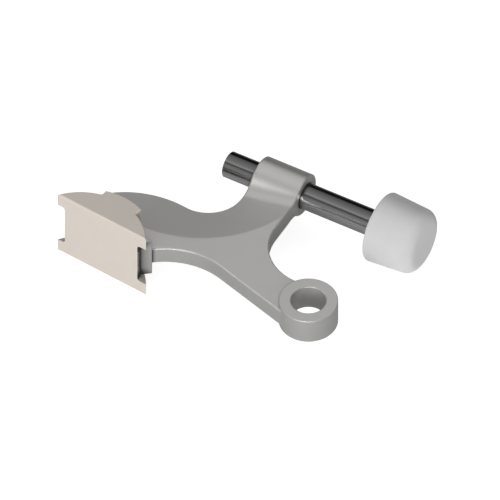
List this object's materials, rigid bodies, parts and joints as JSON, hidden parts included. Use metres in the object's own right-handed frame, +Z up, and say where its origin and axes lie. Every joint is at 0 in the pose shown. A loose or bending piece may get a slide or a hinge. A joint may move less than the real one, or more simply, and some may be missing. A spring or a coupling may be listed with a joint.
{
  "type": "hinge pin door stop",
  "caption": "Hinge pin door stop: a Y-shaped cast arm with an eye for the hinge pin, a push-on pad on one limb and an adjusting rod with a soft bumper tip on the other.",
  "frame": {"origin": "centre of the hinge pin's bore, at half the height of the eye", "axes": "+X along the adjusting rod towards its bumper, +Y from the hinge pin's bore to the rod, +Z up along the hinge pin"},
  "size_m": [0.0776, 0.0467, 0.0188],
  "materials": {
    "satin_nickel": "satin nickel plate on a die casting",
    "pad_plastic": "matt moulded plastic, warm light grey",
    "polished_steel": "smooth dark polished bar",
    "white_rubber": "matt white rubber"
  },
  "bodies": {
    "arm_body": {"arm": "satin_nickel", "pad": "pad_plastic"},
    "rod_body": {"adjusting_rod": "polished_steel", "bumper_tip": "white_rubber"}
  },
  "joints": [
    {"name": "rod_adjust", "type": "slide", "parent": "arm_body", "child": "rod_body", "axis": [1, 0, 0], "range_m": [-0.018, 0.008]}
  ]
}
